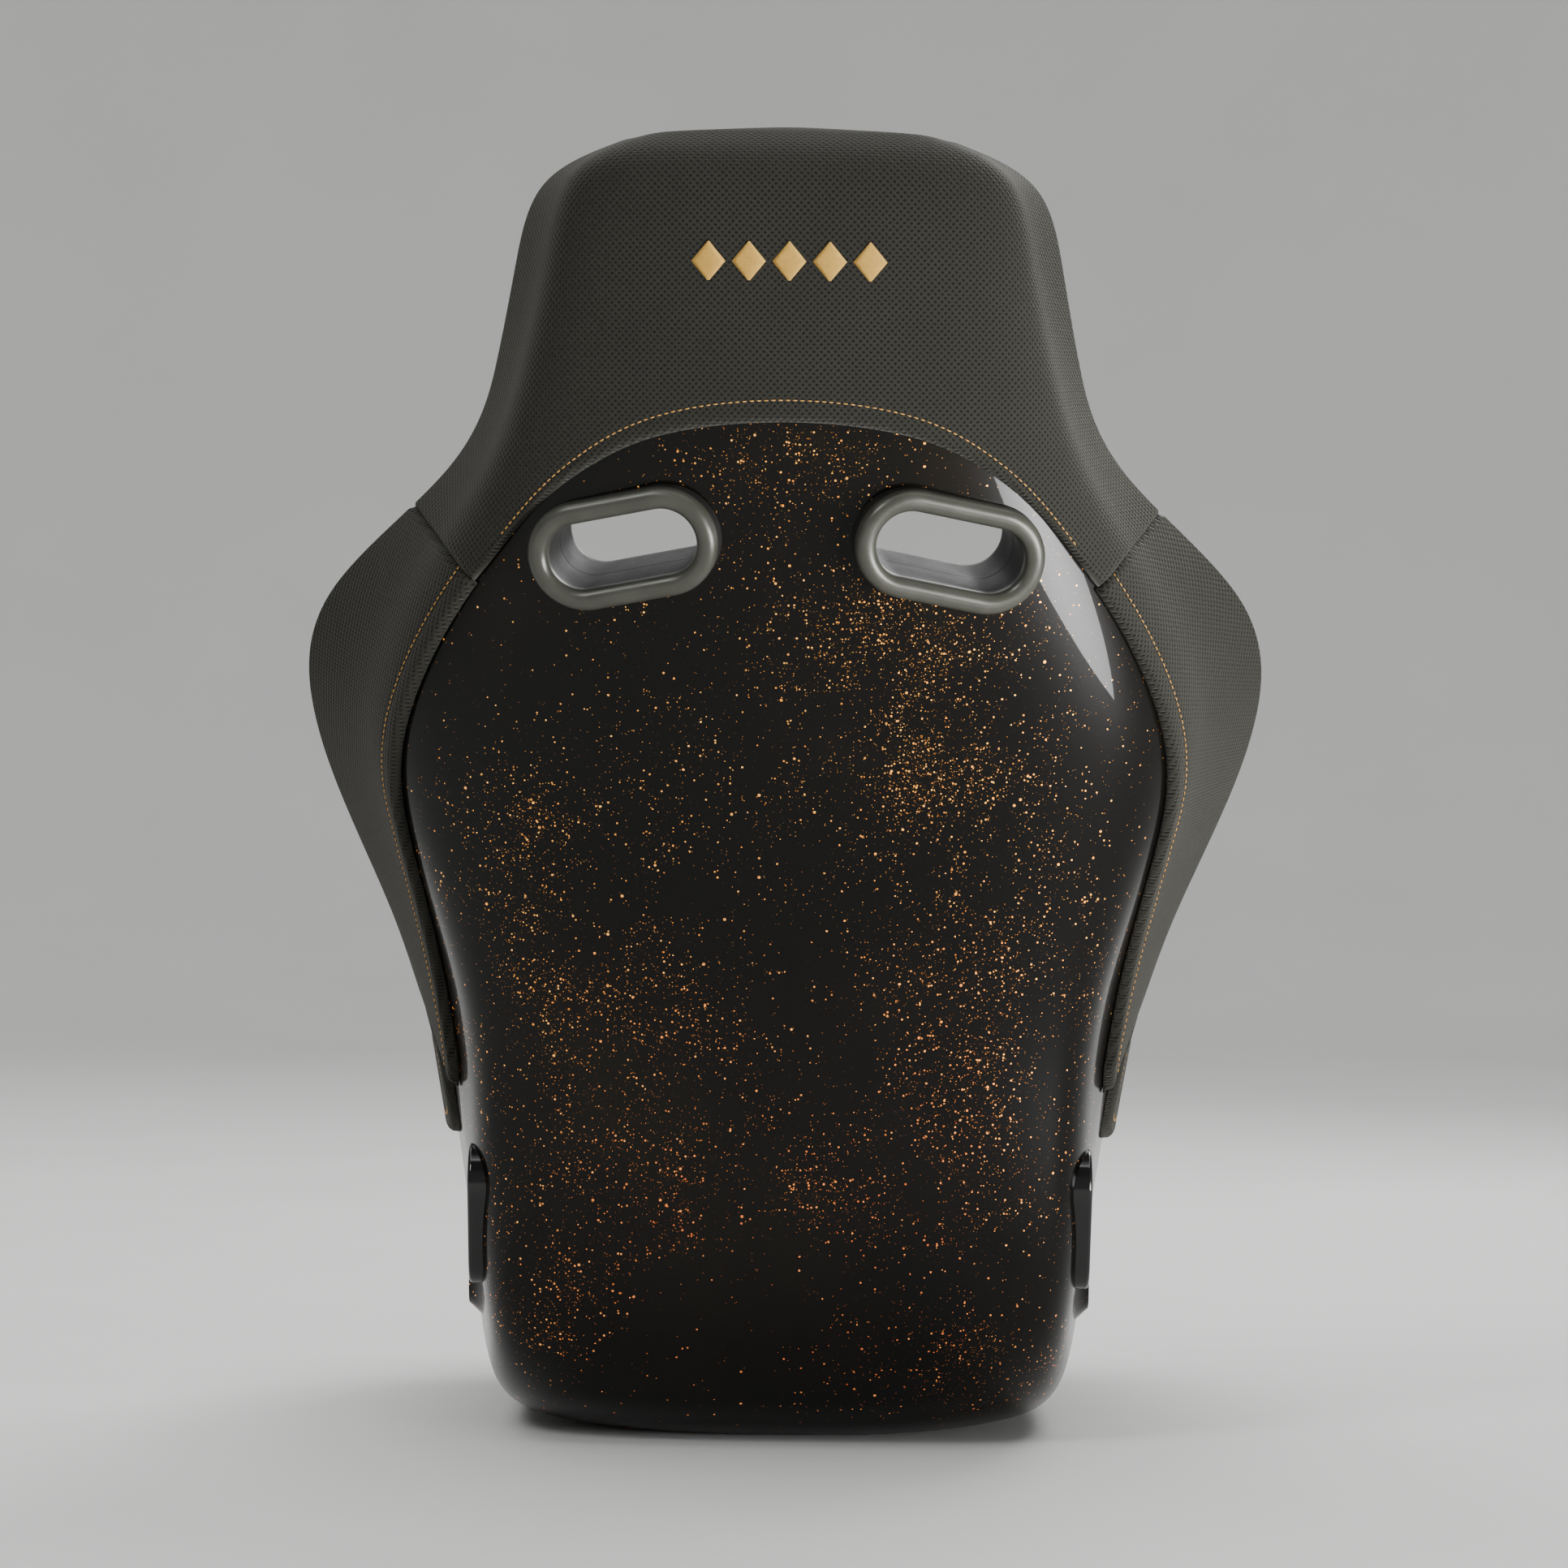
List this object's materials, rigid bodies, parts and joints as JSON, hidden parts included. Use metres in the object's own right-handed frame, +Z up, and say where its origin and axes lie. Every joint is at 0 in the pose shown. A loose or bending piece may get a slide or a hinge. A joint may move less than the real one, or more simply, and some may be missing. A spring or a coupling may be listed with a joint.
{
  "type": "racing seat",
  "caption": "Fixed-back racing bucket seat with a flake-finish glass-fibre shell, knit-covered pads, harness slots and side mounts.",
  "frame": {"origin": "bottom centre of the seat's box, on the floor that the pan stands on", "axes": "+X to the sitter's left, +Y to the rear, +Z up; the sitter faces -Y"},
  "size_m": [0.636, 0.7231, 0.8395],
  "materials": {
    "flake_shell": "clear-coated black glass fibre with gold flake",
    "knit_fabric": "charcoal honeycomb knit",
    "foam": "moulded polyurethane foam",
    "satin_plastic": "satin dark grey moulding",
    "gloss_ring": "polished black moulding",
    "gold_thread": "gold embroidery thread",
    "zinc_steel": "zinc plated",
    "edge_rubber": "matte",
    "hook_and_loop": "woven nylon",
    "base_cloth": "non-woven cloth"
  },
  "bodies": {
    "seat": {"backrest_pad_cover": "knit_fabric", "backrest_pad_foam": "foam", "crown_pad_cover": "knit_fabric", "crown_pad_foam": "foam", "front_lip_trim": "edge_rubber", "head_motif": "gold_thread", "headrest_pad_cover": "knit_fabric", "headrest_pad_foam": "foam", "left_harness_bezel_front": "satin_plastic", "left_harness_bezel_rear": "satin_plastic", "left_hip_bolster_cover": "knit_fabric", "left_hip_bolster_foam": "foam", "left_lap_belt_ring": "gloss_ring", "left_mount_inserts": "zinc_steel", "left_mount_plate": "zinc_steel", "left_shoulder_bolster_cover": "knit_fabric", "left_shoulder_bolster_foam": "foam", "left_side_cover": "knit_fabric", "left_thigh_bolster_cover": "knit_fabric", "left_thigh_bolster_foam": "foam", "left_wing_cover": "knit_fabric", "lumbar_pad_cover": "knit_fabric", "lumbar_pad_foam": "foam", "rear_head_cover": "knit_fabric", "right_harness_bezel_front": "satin_plastic", "right_harness_bezel_rear": "satin_plastic", "right_hip_bolster_cover": "knit_fabric", "right_hip_bolster_foam": "foam", "right_lap_belt_ring": "gloss_ring", "right_mount_inserts": "zinc_steel", "right_mount_plate": "zinc_steel", "right_shoulder_bolster_cover": "knit_fabric", "right_shoulder_bolster_foam": "foam", "right_side_cover": "knit_fabric", "right_thigh_bolster_cover": "knit_fabric", "right_thigh_bolster_foam": "foam", "right_wing_cover": "knit_fabric", "shell": "flake_shell", "shell_hook_strips": "hook_and_loop"},
    "seat_cushion": {"crotch_strap_ring": "gloss_ring", "cushion_base_cloth": "base_cloth", "cushion_loop_strips": "hook_and_loop", "seat_cushion_cover": "knit_fabric", "seat_cushion_foam": "foam"}
  },
  "joints": [
    {"name": "cushion_lift", "type": "slide", "parent": "seat", "child": "seat_cushion", "axis": [0, -0.4, 0.9165], "range_m": [0, 0.32]}
  ]
}
